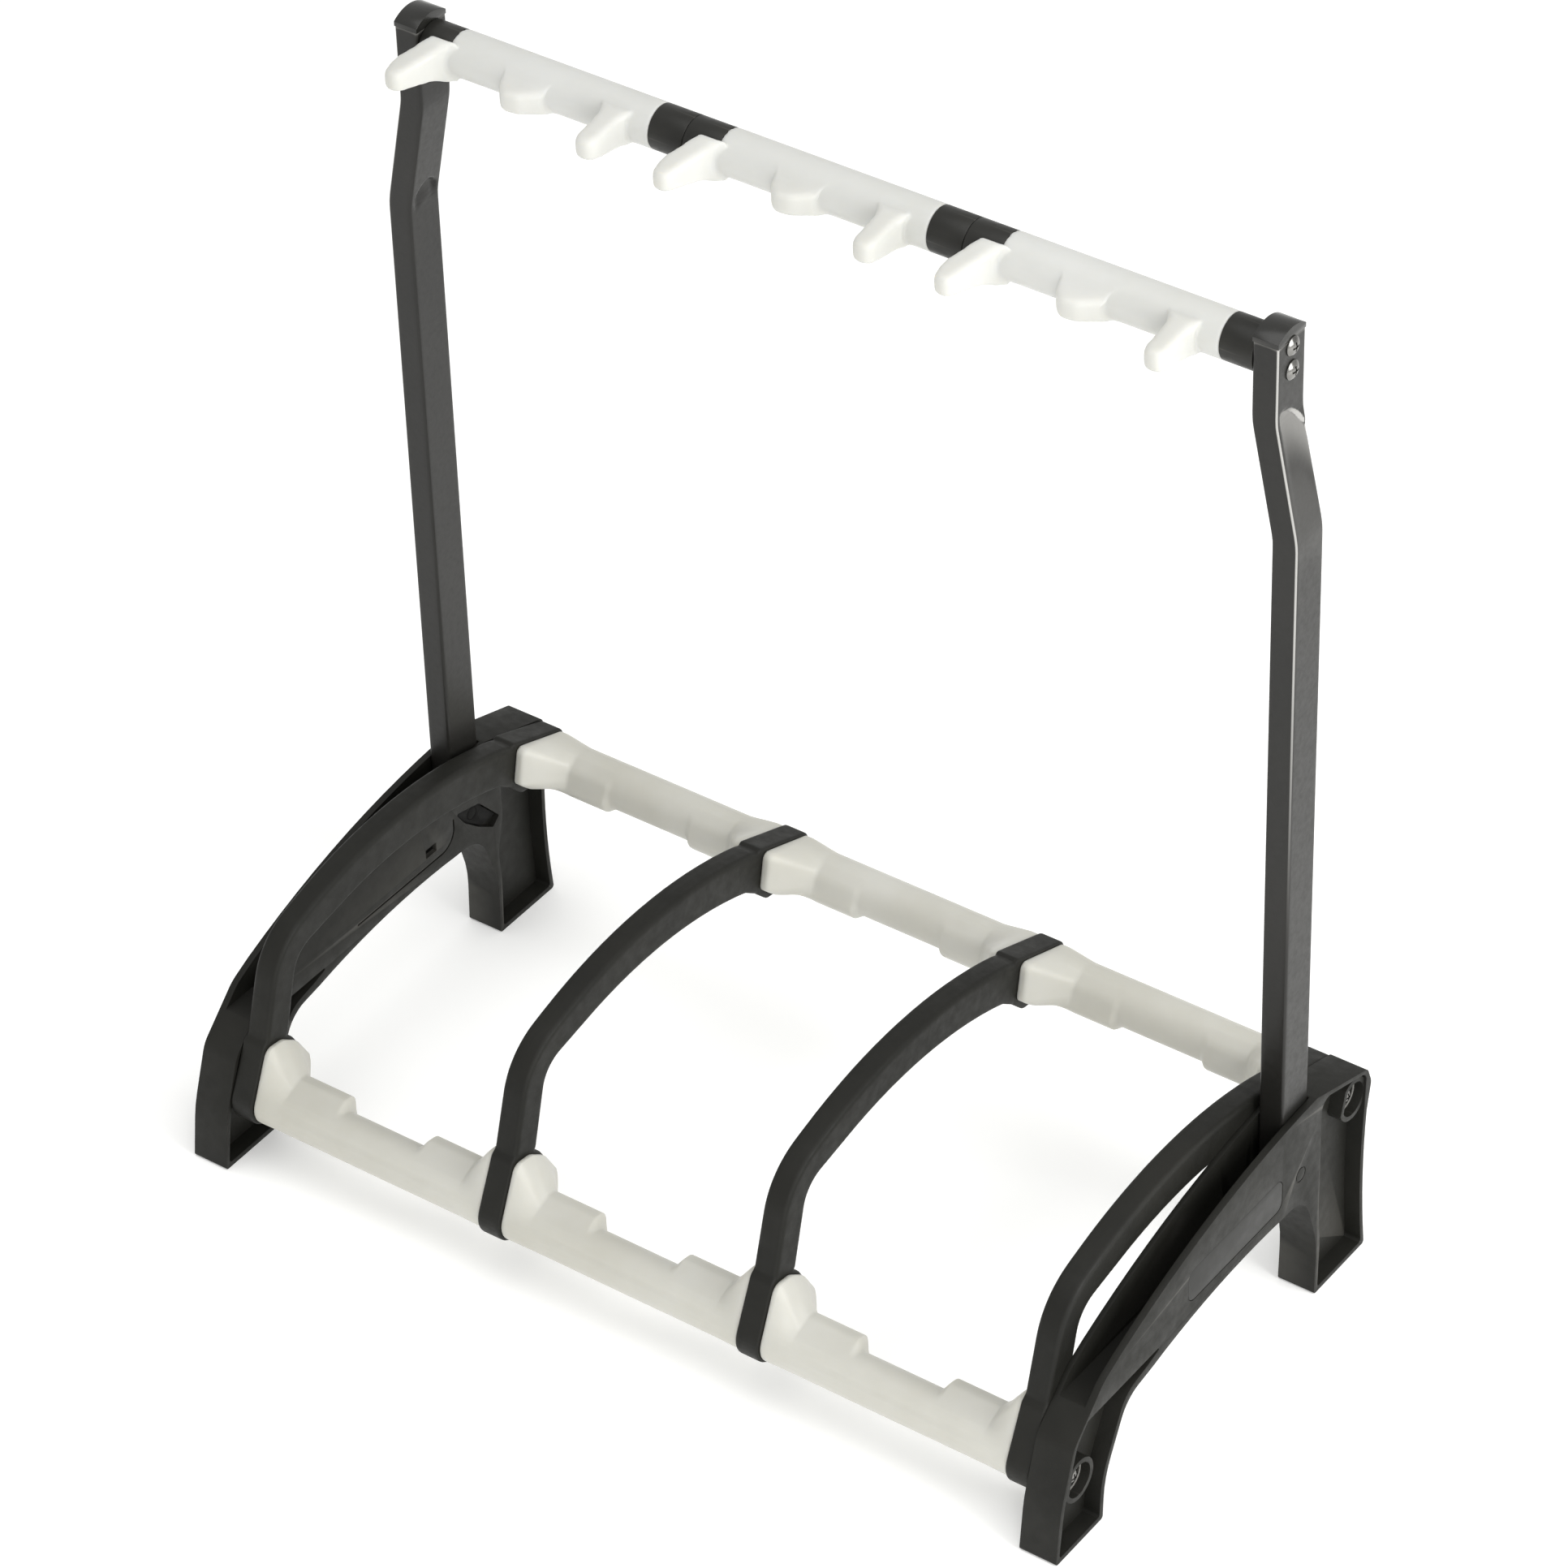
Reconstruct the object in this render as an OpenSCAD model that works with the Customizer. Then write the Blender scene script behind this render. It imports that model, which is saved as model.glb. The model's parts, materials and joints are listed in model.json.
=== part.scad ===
// Floor rack for three stringed instruments: two moulded side frames joined by two padded bars and four hoops,
// and a padded neck bar on two uprights, which fold forward about pins in the side frames.
// Millimetres, +Z up, the front faces -Y. The origin is on the floor, at the middle of the footprint.

/* [Bays] */
// Distance from one hoop to the next, one instrument to each bay
bay_pitch = 173; // [165:1:190]
// Thickness of a hoop
hoop_t = 15; // [12:1:18]
// Diameter of the two lower bars
bar_d = 20; // [18:0.5:20.5]

/* [Side frames] */
// Thickness of a side frame
frame_t = 23; // [22:0.5:26]
// Thickness of the web between the pockets
web_t = 3; // [2:0.5:5]
// Thickness of the wall outside the upright's slot
outer_wall = 4; // [4:0.5:5]
// Thickness of the wall inside the upright's slot
inner_wall = 3; // [3:0.5:4]
// Height of the slot's floor
slot_floor = 85.5; // [85:0.1:86]

/* [Uprights] */
// Height of the caps' crowns
rack_h = 637; // [600:1:760]
// Width of the upright's tube, across the rack
upright_w = 15; // [14:0.5:15]
// Depth of the upright's tube, front to back
upright_d = 25; // [24:0.5:25]
// How far the upper end is set in by the double bend
set_in = 13.3; // [8:0.1:14]
// Diameter of the pivot pins
pin_d = 8; // [6:0.5:9]

/* [Neck bar] */
// Diameter of the neck bar's tube
neck_bar_d = 20; // [18:0.5:21]
// Diameter of the neck pads and sleeves
neck_pad_d = 25.4; // [24:0.1:28]
// Length of a neck pad
neck_pad_len = 129.5; // [125:0.5:135]

/* [Hidden] */
$fn = 64;
plastic = "#33332f";
painted = "#45433f";
rubber = "#dddcd2";
zinc = "#b9b9b6";

// Clearances
gap = 0.1;
running = 0.05;

// Places across the rack
end_hoop = 1.5 * bay_pitch;
frame_in = end_hoop + hoop_t / 2;
frame_out = frame_in + frame_t;
web_in = frame_in + (frame_t - web_t) / 2;
web_out = web_in + web_t;
slot_in = frame_in + inner_wall;
slot_out = frame_out - outer_wall;
upright_x = (slot_in + slot_out) / 2;
upright_top_x = upright_x - set_in;
neck_end = upright_top_x - upright_w / 2;
bay_centres = [-bay_pitch, 0, bay_pitch];
base_pad_half = (bay_pitch - hoop_t) / 2;

// Places in the side view, each [y, z]
front_bar = [-128.5, 42.5];
back_bar = [136.5, 112.5];
pivot = [82, slot_floor + 1.5 + upright_d / 2];
neck = [82, rack_h - 18];
slot_front = -130;
slot_back = pivot.x + upright_d / 2 + 1.1;

// Tubes, plugs and screws
tube_wall = 1.5;
bar_end = frame_out - 7;
plug_len = 18;
neck_wall = 1.2;
neck_block_len = 22;
cap_joint = rack_h - 7;
cap_lip = 2.8;
screw_pitch = 14;
screw_r = 1.4;
neck_head_r = 5.5;
bar_head_r = 5;
head_h = 2.8;
bend_low = rack_h - 120;
bend_high = rack_h - 53;
bend_r = 40;
pin_end = frame_out - 1.6;
pivot_recess = 1.4;

// Degrees turned by one side of a rounded corner
arc_step = 7;

// ---- Outlines in the side view -------------------------------------------------------------------------
// A corner is [y, z, radius]; outline() turns a closed list of corners into points.

function unit(v) = v / norm(v);
function place(c) = [c.x, c.y];
function cross2(a, b) = a.x * b.y - a.y * b.x;

function corner_points(before, at, after) =
    at.z <= 0 ? [place(at)] :
    let (
        back = unit(place(before) - place(at)),
        ahead = unit(place(after) - place(at)),
        half = acos(back * ahead) / 2,
        centre = place(at) + unit(back + ahead) * at.z / sin(half),
        start = place(at) + back * at.z / tan(half) - centre,
        first = atan2(start.y, start.x),
        swing = -sign(cross2(back, ahead)) * (180 - 2 * half),
        steps = ceil(abs(swing) / arc_step)
    )
    [for (i = [0:steps]) centre + at.z * [cos(first + swing * i / steps), sin(first + swing * i / steps)]];

function outline(corners) =
    let (n = len(corners))
    [for (i = [0:n - 1]) each corner_points(corners[(i + n - 1) % n], corners[i], corners[(i + 1) % n])];

// Corners along an arc about a centre, from one angle to another
function arc(centre, r, from, to, steps) =
    [for (i = [0:steps])
        let (a = from + (to - from) * i / steps)
        [centre.x + r * cos(a), centre.y + r * sin(a), 0]];

// Side frame: front foot, long top arc, back corner, hollow back edge, then the arch between the feet
top_centre = [106, -382.7];
back_centre = [597, 56];
arch_centre = [33, -360.2];
frame_corners = concat(
    [[-152.69, 0, 2], [-148, 34, 80], [-135.3, 70.5, 18], [-108, 96.2, 25]],
    arc(top_centre, 525, 112.3, 91, 12),
    [[148.6, 126, 5], [152.7, 115, 8]],
    arc(back_centre, 450, 174.8, 186.6, 8),
    [[150.4, 0, 2], [99, 0, 2], [100.6, 38, 70], [86.5, 80.5, 21]],
    arc(arch_centre, 441.8, 85.8, 102.4, 10),
    [[-85.5, 67.4, 22], [-106.8, 27, 60], [-108.5, 0, 2]]
);
front_pocket = [
    [-149.4, 3.2, 2], [-144.8, 34, 80], [-132.2, 70.5, 16], [-122.4, 80.4, 1.5],
    [-51, 80.4, 0.8], [-66, 76, 0], [-87.5, 71.5, 20], [-109.9, 28, 60], [-111.6, 3.2, 2],
];

// The pocket over a back foot; the inner one steps back to clear the pivot's opening
function back_pocket(front_edge) = concat(
    [[102.4, 3.2, 2], [103.6, 36, 60]],
    front_edge,
    [[147.6, 123.9, 6]],
    arc(back_centre, 453, 174.4, 186.4, 8),
    [[146.8, 3.2, 2]]
);
outer_back_edge = [[101.6, 62, 20], [101.6, 84, 20], [101.8, 137.7, 7]];
inner_back_edge = [[102.2, 58, 20], [107.8, 82, 20], [107.8, 135.9, 6]];

// Ends of the hoops and of the base pads about the two bars
front_horn = concat(
    arc(front_bar, 13.6, -50, -205, 14),
    [[-127, 78.6, 6], [-114.2, 76.8, 6], [-103.9, 69.2, 8], [-94.2, 52.3, 5], [-97, 43.5, 6], [-112, 36, 8]]
);
back_horn = concat(
    [[110.5, 107.6, 6], [101.5, 116, 4], [106.2, 139, 4], [148.8, 124, 7]],
    arc(back_bar, 13.4, 0, -100, 10)
);
hoop_centre = [5.4, -140.4];
hoop_inner_centre = [-2.7, -140.4];
hoop_corners = concat(
    arc(front_bar, 14.4, -50, -205, 14),
    [[-127.4, 79, 4], [-124.6, 82, 1.5], [-123.3, 86, 3], [-107.6, 136.8, 43]],
    arc(hoop_centre, 298.3, 106, 72, 14),
    [[103.2, 142.2, 2.5], [149.8, 124.6, 6]],
    arc(back_bar, 13.4, 0, -100, 10),
    [[109, 103.4, 8], [92.4, 117.6, 6]],
    arc(hoop_inner_centre, 276.6, 71.6, 101.7, 12),
    [[-93.9, 123.9, 20], [-107.2, 77, 2], [-103.8, 70.4, 8]],
    [[-93.4, 52.3, 5], [-96.4, 42.6, 6], [-112, 35, 8]]
);

// Middle stretches of the pads, a low step above the bare round
front_step = concat(
    arc(front_bar, 13.4, -70, -250, 14),
    [[-122, 59.5, 4], [-112, 59.5, 5], [-112, 46, 6]]
);
back_step = concat(
    arc(back_bar, 13.5, 110, -80, 14),
    [[127, 99.4, 6], [120.4, 106, 7], [124.5, 121, 8]]
);

// Opening in the inner wall beside the pivot, and the thin block that closes the part of it over the slot
pivot_opening = [
    [66.5, 109, 1], [87.5, 103.8, 1.5], [104.8, 84, 1], [98.8, 79, 1.5], [86, 87.5, 3], [74, 98, 1],
];
pivot_cover = [
    [67.6, 108.4, 1], [87.2, 103.2, 1.5], [102.6, 85.8, 0.5], [89.4, 85.8, 0.5],
    [86.4, 87.8, 1], [74.3, 98.4, 1],
];

// ---- Building blocks -----------------------------------------------------------------------------------

// Mirrors a right-hand piece to the left when side is -1
module on_side(side) {
    mirror([side < 0 ? 1 : 0, 0, 0]) children();
}

// A side-view shape given thickness between two places across the rack
module slab(from, to) {
    translate([from, 0, 0]) rotate([90, 0, 90]) linear_extrude(to - from) children();
}

// A round rod along X, about a place in the side view
module rod(r, from, to, about) {
    translate([from, about.x, about.y]) rotate([0, 90, 0]) cylinder(r = r, h = to - from);
}

// A tube along X
module pipe(r, bore, from, to, about) {
    difference() {
        rod(r, from, to, about);
        rod(bore, from - 1, to + 1, about);
    }
}

// A round with its front flattened, to key the bars in the bosses
module keyed_round(r, flat) {
    intersection() {
        circle(r);
        rotate(-17) translate([-flat, -2 * r]) square(4 * r);
    }
}

// A pan-head screw with a crossed recess: head out towards +X, shank towards -X, seat at x
module pan_screw(x, about, head_r, shank_r, length) {
    crown_r = 1.5 * head_r;
    rim = head_h - crown_r + sqrt(pow(crown_r, 2) - pow(head_r, 2));
    spread = asin(head_r / crown_r);
    crown = [for (i = [1:6]) crown_r * [sin(spread * (1 - i / 6)), cos(spread * (1 - i / 6)) - 1] + [0, head_h]];
    translate([x, about.x, about.y]) difference() {
        rotate([0, 90, 0]) rotate_extrude() polygon(concat(
            [[0, -length], [shank_r, -length], [shank_r, 0], [head_r, 0], [head_r, rim]], crown
        ));
        for (turn = [0, 90]) translate([head_h, 0, 0]) rotate([turn, 0, 0]) {
            cube([2.6, 1.1, head_r], center = true);
        }
    }
}

// ---- Base ----------------------------------------------------------------------------------------------

module frame_body() {
    difference() {
        slab(frame_in, frame_out) polygon(outline(frame_corners));
        for (pocket = [front_pocket, back_pocket(inner_back_edge)]) {
            slab(frame_in - 1, web_in) polygon(outline(pocket));
        }
        for (pocket = [front_pocket, back_pocket(outer_back_edge)]) {
            slab(web_out, frame_out + 1) polygon(outline(pocket));
        }
    }
}

// The tongue that latches the upright, set free from the inner wall by a thin cut
module tongue_cut() {
    translate([-25, 89.4]) square([77, 1.2]);
    intersection() {
        translate([52, 102]) difference() {
            circle(12.6);
            circle(11.4);
        }
        translate([52, 88]) square(14);
    }
    translate([63.4, 101.9]) square([1.2, 5.6]);
    translate([38, 95.8]) square([9.6, 6]);
}

module side_frame(side) {
    color(plastic) on_side(side) difference() {
        union() {
            frame_body();
            for (bar = [front_bar, back_bar]) {
                slab(frame_in, frame_out - 1.5) translate(bar) keyed_round(13.2, 10.8);
            }
        }
        for (bar = [front_bar, back_bar]) {
            rod(bar_d / 2 + gap, frame_in - 1, bar_end + gap, bar);
            slab(bar_end, frame_out + 1) translate(bar) keyed_round(10.3, 8);
        }
        translate([slot_in, slot_front, slot_floor]) cube([slot_out - slot_in, slot_back - slot_front, 100]);
        rod(pin_d / 2 + running, slot_out - 1, pin_end + gap, pivot);
        slab(frame_in - 1, slot_in + 1) tongue_cut();
        slab(frame_in - 1, slot_in + 1) polygon(outline(pivot_opening));
        slab(frame_out - 0.4, frame_out + 1) translate(pivot) difference() {
            circle(4.8);
            circle(4);
        }
        if (side > 0) slab(frame_out - 0.8, frame_out + 1) label_shape(0);
    }
}

module label_shape(shrink) {
    polygon(outline([
        [-28 + shrink, 89 + shrink, 6], [-28 + shrink, 110.6 - shrink, 6],
        [64 - shrink, 110.6 - shrink, 6], [64 - shrink, 89 + shrink, 6],
    ]));
}

module label_plate() {
    color("#2b2b28") slab(frame_out - 0.7, frame_out - 0.1) label_shape(0.25);
}

// Hoop between two bays; place counts the hoops from the left, 0 to 3
module hoop(place) {
    centre = (place - 1.5) * bay_pitch;
    color(plastic) difference() {
        slab(centre - hoop_t / 2 + gap, centre + hoop_t / 2 - gap) polygon(outline(hoop_corners));
        for (bar = [front_bar, back_bar]) rod(bar_d / 2 + gap, centre - hoop_t, centre + hoop_t, bar);
    }
}

module bar_tube(bar) {
    color(painted) pipe(bar_d / 2, bar_d / 2 - tube_wall, -bar_end, bar_end, bar);
}

// One base pad: bare round in the middle, a low step either side of it, and a tall horn at each end
module base_pad(centre, bar, round_r, step, horn) {
    color(rubber) difference() {
        union() {
            rod(round_r, centre - base_pad_half, centre + base_pad_half, bar);
            for (side = [-1, 1]) translate([centre, 0, 0]) on_side(side) {
                slab(27, 68) polygon(outline(step));
                slab(66, base_pad_half) polygon(outline(horn));
            }
        }
        rod(bar_d / 2 + gap, centre - bay_pitch, centre + bay_pitch, bar);
    }
}

module front_pad(centre) {
    base_pad(centre, front_bar, 13.4, front_step, front_horn);
}

module back_pad(centre) {
    base_pad(centre, back_bar, 13.4, back_step, back_horn);
}

module bar_end_plugs() {
    color(plastic) for (side = [-1, 1], bar = [front_bar, back_bar]) on_side(side) {
        pipe(bar_d / 2 - tube_wall - gap, screw_r + gap, bar_end - plug_len, bar_end, bar);
    }
}

module bar_screws() {
    color(zinc) for (side = [-1, 1], bar = [front_bar, back_bar]) on_side(side) {
        pan_screw(bar_end + gap, bar, bar_head_r, screw_r, plug_len - 4);
    }
}

module pivot_block(side) {
    color(plastic) on_side(side) difference() {
        slab(frame_in + pivot_recess, slot_in - 0.2) polygon(outline(pivot_cover));
        rod(pin_d / 2 + running, frame_in, slot_in + 1, pivot);
    }
}

// The pin ends flush with the block's face
module pivot_pin(side) {
    color(painted) on_side(side) rod(pin_d / 2, frame_in + pivot_recess, pin_end, pivot);
}

// ---- Folding upper frame -------------------------------------------------------------------------------

// Front view of an upright: straight, then set in by a double bend
module double_bend(half, low, high) {
    polygon(outline([
        [upright_x + half, low, 0], [upright_x + half, bend_low, bend_r],
        [upright_top_x + half, bend_high, bend_r], [upright_top_x + half, high, 0],
        [upright_top_x - half, high, 0], [upright_top_x - half, bend_high, bend_r],
        [upright_x - half, bend_low, bend_r], [upright_x - half, low, 0],
    ]));
}

// Everything above the pivot, and a round end about it
module round_foot(r) {
    rod(r, frame_in, frame_out, pivot);
    translate([0, pivot.x - r, pivot.y]) cube([frame_out, 2 * r, rack_h]);
}

module screw_holes(from, to) {
    for (side = [-1, 1]) rod(screw_r + gap, from, to, neck + [0, side * screw_pitch / 2]);
}

module upright(side) {
    color(painted) on_side(side) difference() {
        intersection() {
            translate([0, pivot.x + upright_d / 2, 0]) rotate([90, 0, 0]) {
                linear_extrude(upright_d) double_bend(upright_w / 2, 60, cap_joint);
            }
            round_foot(upright_d / 2);
        }
        translate([0, pivot.x + upright_d / 2 - tube_wall, 0]) rotate([90, 0, 0]) {
            linear_extrude(upright_d - 2 * tube_wall) double_bend(upright_w / 2 - tube_wall, 50, cap_joint + 9);
        }
        rod(pin_d / 2 + running, frame_in, frame_out, pivot);
        screw_holes(neck_end - 1, upright_top_x + upright_w);
    }
}

// Plug in the foot of an upright, which turns on the pin
module upright_foot(side) {
    inside_w = upright_w - 2 * tube_wall - 2 * gap;
    inside_r = upright_d / 2 - tube_wall - gap;
    color(plastic) on_side(side) difference() {
        union() {
            rod(inside_r, upright_x - inside_w / 2, upright_x + inside_w / 2, pivot);
            translate([upright_x - inside_w / 2, pivot.x - inside_r, pivot.y]) cube([inside_w, 2 * inside_r, 45]);
        }
        rod(pin_d / 2 + running, frame_in, frame_out, pivot);
    }
}

// Domed cap; its tail goes down inside the tube and backs the two screws
module upright_cap(side) {
    inside_w = upright_w - 2 * tube_wall - 2 * gap;
    inside_d = upright_d - 2 * tube_wall - 2 * gap;
    rise = rack_h - cap_joint - cap_lip;
    crown_r = (pow(upright_d / 2, 2) + pow(rise, 2)) / (2 * rise);
    color(plastic) on_side(side) difference() {
        union() {
            slab(upright_top_x - upright_w / 2, upright_top_x + upright_w / 2) intersection() {
                translate([pivot.x, rack_h - crown_r]) circle(crown_r);
                translate([pivot.x - upright_d / 2, cap_joint + gap]) square([upright_d, 20]);
            }
            translate([upright_top_x - inside_w / 2, pivot.x - inside_d / 2, neck.y - 13]) {
                cube([inside_w, inside_d, cap_joint + 1 - neck.y + 13]);
            }
        }
        screw_holes(neck_end - 1, upright_top_x + upright_w);
    }
}

module neck_bar_tube() {
    color(painted) pipe(neck_bar_d / 2, neck_bar_d / 2 - neck_wall, gap - neck_end, neck_end - gap, neck);
}

module neck_end_blocks() {
    color(plastic) for (side = [-1, 1]) on_side(side) difference() {
        rod(neck_bar_d / 2 - neck_wall - gap, neck_end - neck_block_len, neck_end - gap, neck);
        screw_holes(neck_end - neck_block_len - 1, neck_end + 1);
    }
}

module neck_screws() {
    color(zinc) for (side = [-1, 1], step = [-0.5, 0.5]) on_side(side) {
        pan_screw(upright_top_x + upright_w / 2, neck + [0, step * screw_pitch], neck_head_r, screw_r, 33);
    }
}

// Plan outlines of the three prongs on a neck pad, each corner [x from the pad's centre, y, radius]
tusk = [
    [-57, 76, 0], [-57, 90, 0], [-66, 90, 3], [-79.8, 66, 22], [-84.4, 52, 20], [-82.4, 38.5, 4.5],
    [-74, 38.5, 4], [-71, 52, 30], [-66.6, 67.4, 20],
];
fin = [
    [-29, 80, 0], [-29, 76, 0], [-27, 66, 6], [-21, 59, 5], [-12.5, 60, 6], [-3, 67, 10], [6, 76, 0], [6, 80, 0],
];
finger = [
    [34, 80, 0], [34, 72.6, 0], [38, 66.5, 9], [39, 41, 5], [50, 41, 5], [50.5, 64, 9],
    [53.2, 74, 0], [53.2, 80, 0],
];

// Side view of the prongs: deep at the bar, slim at the tips
module prong_depth() {
    polygon(outline([
        [94, neck.y - 9.6, 0], [94, neck.y + 9.6, 0], [74, neck.y + 9.6, 20],
        [36, neck.y + 4.4, 3], [36, neck.y - 4.4, 3], [74, neck.y - 9.6, 20],
    ]));
}

module neck_pad(centre) {
    half = neck_pad_len / 2;
    color(rubber) difference() {
        union() {
            rod(neck_pad_d / 2, centre - half, centre + half, neck);
            intersection() {
                translate([centre, 0, neck.y - 15]) linear_extrude(30) {
                    polygon(outline(tusk));
                    polygon(outline(fin));
                    polygon(outline(finger));
                }
                slab(centre - bay_pitch, centre + bay_pitch) prong_depth();
            }
        }
        rod(neck_bar_d / 2 + gap, centre - bay_pitch, centre + bay_pitch, neck);
        rod(neck_pad_d / 2 + gap, centre - bay_pitch, centre - half - gap, neck);
    }
}

// Sleeves fill the bar between the pads: two in each bay, one at each end of its pad
module neck_sleeve(number) {
    bay = floor((number - 1) / 2);
    side = number % 2 == 1 ? -1 : 1;
    centre = bay_centres[bay];
    near = centre + side * (neck_pad_len / 2 + gap);
    edge = centre + side * (bay_pitch / 2 - gap);
    far = abs(edge) > bay_pitch ? side * (neck_end - gap) : edge;
    color(plastic) pipe(neck_pad_d / 2, neck_bar_d / 2 + gap, min(near, far), max(near, far), neck);
}

side_frame(-1);  // side_frame_left
side_frame(1);  // side_frame_right
hoop(0);  // hoop_end_left
hoop(1);  // hoop_mid_left
hoop(2);  // hoop_mid_right
hoop(3);  // hoop_end_right
bar_tube(front_bar);  // front_bar_tube
bar_tube(back_bar);  // back_bar_tube
front_pad(-bay_pitch);  // front_pad_left
front_pad(0);  // front_pad_middle
front_pad(bay_pitch);  // front_pad_right
back_pad(-bay_pitch);  // back_pad_left
back_pad(0);  // back_pad_middle
back_pad(bay_pitch);  // back_pad_right
bar_end_plugs();
bar_screws();
label_plate();
pivot_block(-1);  // pivot_block_left
pivot_block(1);  // pivot_block_right
pivot_pin(-1);  // pivot_pin_left
pivot_pin(1);  // pivot_pin_right
upright(-1);  // upright_left
upright(1);  // upright_right
upright_foot(-1);  // upright_foot_left
upright_foot(1);  // upright_foot_right
upright_cap(-1);  // upright_cap_left
upright_cap(1);  // upright_cap_right
neck_bar_tube();
neck_end_blocks();
neck_pad(-bay_pitch);  // neck_pad_left
neck_pad(0);  // neck_pad_middle
neck_pad(bay_pitch);  // neck_pad_right
neck_sleeve(1);  // neck_sleeve_1
neck_sleeve(2);  // neck_sleeve_2
neck_sleeve(3);  // neck_sleeve_3
neck_sleeve(4);  // neck_sleeve_4
neck_sleeve(5);  // neck_sleeve_5
neck_sleeve(6);  // neck_sleeve_6
neck_screws();
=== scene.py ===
"""Guitar rack: soft pads, moulded hoops and frames, painted tubes and screws, built round the CAD frame."""
import json
import math

import bmesh
import bpy
from mathutils import Matrix, Vector


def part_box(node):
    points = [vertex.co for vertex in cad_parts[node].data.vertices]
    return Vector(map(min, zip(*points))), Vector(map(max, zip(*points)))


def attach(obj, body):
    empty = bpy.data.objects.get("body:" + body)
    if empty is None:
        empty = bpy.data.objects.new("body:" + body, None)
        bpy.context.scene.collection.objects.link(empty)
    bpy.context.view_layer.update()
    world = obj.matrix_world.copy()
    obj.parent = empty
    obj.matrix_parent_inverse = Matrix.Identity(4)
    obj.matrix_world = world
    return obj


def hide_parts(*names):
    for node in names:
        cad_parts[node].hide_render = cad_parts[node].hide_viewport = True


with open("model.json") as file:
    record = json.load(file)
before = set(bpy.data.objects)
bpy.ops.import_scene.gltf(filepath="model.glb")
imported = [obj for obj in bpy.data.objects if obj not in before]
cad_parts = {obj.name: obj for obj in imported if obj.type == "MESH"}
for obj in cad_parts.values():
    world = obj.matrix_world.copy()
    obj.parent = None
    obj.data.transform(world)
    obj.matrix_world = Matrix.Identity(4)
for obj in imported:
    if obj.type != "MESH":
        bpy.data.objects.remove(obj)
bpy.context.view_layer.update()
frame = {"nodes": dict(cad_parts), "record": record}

MM = 0.001
SIDES = {"left": -1, "right": 1}
BAYS = {"left": -1, "middle": 0, "right": 1}


# ---- Places read from the frame, in millimetres --------------------------------------------------------

def box_mm(node):
    low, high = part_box(node)
    return low / MM, high / MM


def centre_mm(node):
    low, high = box_mm(node)
    return (low + high) / 2


FRONT_BAR = centre_mm("front_bar_tube").yz
BACK_BAR = centre_mm("back_bar_tube").yz
NECK = centre_mm("neck_bar_tube").yz
PITCH = centre_mm("front_pad_right").x - centre_mm("front_pad_middle").x
PAD_HALF = box_mm("front_pad_middle")[1].x
HOOP_LOW, HOOP_HIGH = box_mm("hoop_mid_right")
HOOP_HALF = (HOOP_HIGH.x - HOOP_LOW.x) / 2


# ---- The dents in the uprights, in millimetres ---------------------------------------------------------

# The lip of the upper dent is a curve across the outer face: its height, where across the tube it is centred,
# how much it bends and how much it tilts. The painted highlight in the upper hollow follows the same lip.
UPPER_LIP, UPPER_LIP_AT, UPPER_LIP_BEND, UPPER_LIP_TILT = 592, -3, 0.05, 0.35
# The lip of the lower dent, on the inner face, has no tilt
LOWER_LIP, LOWER_LIP_AT, LOWER_LIP_BEND = 532, 1, 0.08
UPPER_DENT_DEPTH, LOWER_DENT_DEPTH = 2.6, 2.4


# ---- Materials -----------------------------------------------------------------------------------------

# Noise values that count as fully low and fully high
NOISE_LOW, NOISE_HIGH = 0.3, 0.7


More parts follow.
